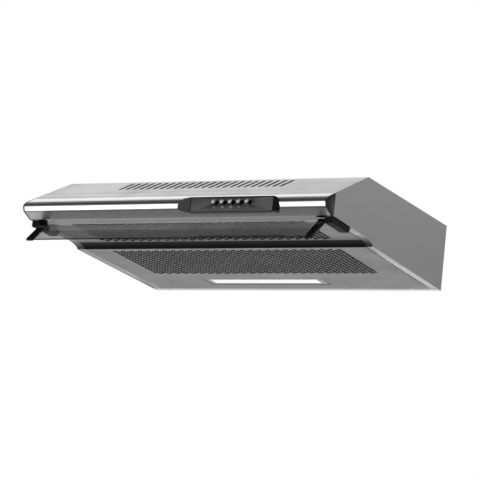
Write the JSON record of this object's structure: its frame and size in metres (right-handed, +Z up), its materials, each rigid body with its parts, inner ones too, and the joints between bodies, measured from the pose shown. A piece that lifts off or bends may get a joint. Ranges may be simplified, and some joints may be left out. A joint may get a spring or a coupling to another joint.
{
  "type": "under cabinet range hood",
  "caption": "Slim sheet-steel cooker hood with a sloping slotted front, a folding smoked visor, a hinged perforated grille, push buttons and a blower under a duct collar.",
  "frame": {"origin": "middle of the rear edge of the flat top, where the hood meets both the cabinet above and the wall behind", "axes": "+X across the hood to the right seen from the front, +Y towards the wall, +Z up; the front faces -Y"},
  "size_m": [0.6, 0.5078, 0.1723],
  "materials": {
    "casing_steel": "brushed stainless sheet, satin",
    "nose_steel": "polished stainless profile",
    "end_cap_grey": "dark grey moulding",
    "black_plastic": "black moulding, low sheen",
    "control_grey": "mid grey plate with plain printed symbols",
    "button_silver": "plated caps on black stems",
    "smoked_visor": "smoked translucent sheet",
    "lamp_lens": "opal diffuser",
    "lamp_grey": "grey lamp frame",
    "filter_mat": "fibre grease mat",
    "zinc_steel": "zinc plated steel",
    "motor_steel": "plated motor can",
    "flap_sheet": "thin moulded flaps",
    "grey_moulding": "grey moulding",
    "circuit_board": "printed circuit board",
    "white_plastic": "off-white moulding"
  },
  "bodies": {
    "hood": {"top_panel": "casing_steel", "slope_panel": "casing_steel", "rear_panel": "casing_steel", "side_panel_left": "casing_steel", "side_panel_right": "casing_steel", "front_rail": "casing_steel", "front_grille": "casing_steel", "nose_profile": "nose_steel", "nose_end_cap_left": "end_cap_grey", "nose_end_cap_right": "end_cap_grey", "control_housing": "black_plastic", "visor_bracket_left": "black_plastic", "visor_bracket_right": "black_plastic", "outlet_collar": "black_plastic", "cable_gland": "black_plastic", "control_face": "control_grey", "light_lens": "lamp_lens", "light_housing": "lamp_grey", "grille_catch_left": "zinc_steel", "grille_catch_right": "zinc_steel", "hinge_clip_left": "zinc_steel", "hinge_clip_right": "zinc_steel", "grille_hinge_pin_left": "zinc_steel", "grille_hinge_pin_right": "zinc_steel", "visor_pin_left": "zinc_steel", "visor_pin_right": "zinc_steel", "light_bracket_left": "zinc_steel", "light_bracket_right": "zinc_steel", "motor_bracket_left": "zinc_steel", "motor_bracket_right": "zinc_steel", "flap_pin": "zinc_steel", "motor_body": "motor_steel", "blower_housing": "grey_moulding", "inlet_ring_left": "grey_moulding", "inlet_ring_right": "grey_moulding", "switch_bank": "grey_moulding", "switch_board": "circuit_board", "led_board": "circuit_board", "led_driver": "white_plastic", "terminal_box": "white_plastic", "capacitor": "white_plastic"},
    "visor": {"visor_arm_left": "black_plastic", "visor_arm_right": "black_plastic", "visor_glass": "smoked_visor", "visor_edge_trim": "black_plastic"},
    "grille": {"filter_grille": "casing_steel", "grille_handle_strip": "black_plastic", "grease_filter": "filter_mat", "filter_clip_front": "zinc_steel", "filter_clip_rear": "zinc_steel"},
    "rotor": {"motor_shaft": "zinc_steel", "impeller_left": "grey_moulding", "impeller_right": "grey_moulding"},
    "flap_front": {"flap_front": "flap_sheet"},
    "flap_rear": {"flap_rear": "flap_sheet"},
    "button_lamp": {"button_lamp": "button_silver"},
    "button_plus": {"button_plus": "button_silver"},
    "button_stop": {"button_stop": "button_silver"},
    "button_minus": {"button_minus": "button_silver"},
    "button_fan": {"button_fan": "button_silver"}
  },
  "joints": [
    {"name": "visor_fold", "type": "hinge", "parent": "hood", "child": "visor", "pos_m": [0, -0.45, -0.10356], "axis": [1, 0, 0], "range_deg": [-26, 134]},
    {"name": "grille_open", "type": "hinge", "parent": "hood", "child": "grille", "pos_m": [0, -0.019, -0.1182], "axis": [1, 0, 0], "range_deg": [0, 85]},
    {"name": "rotor_spin", "type": "hinge", "parent": "hood", "child": "rotor", "pos_m": [0, -0.15, -0.056], "axis": [1, 0, 0], "continuous": true},
    {"name": "flap_front_lift", "type": "hinge", "parent": "hood", "child": "flap_front", "pos_m": [0, -0.15, 0.005], "axis": [-1, 0, 0], "range_deg": [0, 70]},
    {"name": "flap_rear_lift", "type": "hinge", "parent": "hood", "child": "flap_rear", "pos_m": [0, -0.15, 0.005], "axis": [1, 0, 0], "range_deg": [0, 70]},
    {"name": "button_lamp_press", "type": "slide", "parent": "hood", "child": "button_lamp", "axis": [0, 1, 0], "range_m": [0, 0.003], "stiffness_N_per_m": 300, "springref_m": -0.002},
    {"name": "button_plus_press", "type": "slide", "parent": "hood", "child": "button_plus", "axis": [0, 1, 0], "range_m": [0, 0.003], "stiffness_N_per_m": 300, "springref_m": -0.002},
    {"name": "button_stop_press", "type": "slide", "parent": "hood", "child": "button_stop", "axis": [0, 1, 0], "range_m": [0, 0.003], "stiffness_N_per_m": 300, "springref_m": -0.002},
    {"name": "button_minus_press", "type": "slide", "parent": "hood", "child": "button_minus", "axis": [0, 1, 0], "range_m": [0, 0.003], "stiffness_N_per_m": 300, "springref_m": -0.002},
    {"name": "button_fan_press", "type": "slide", "parent": "hood", "child": "button_fan", "axis": [0, 1, 0], "range_m": [0, 0.003], "stiffness_N_per_m": 300, "springref_m": -0.002}
  ]
}
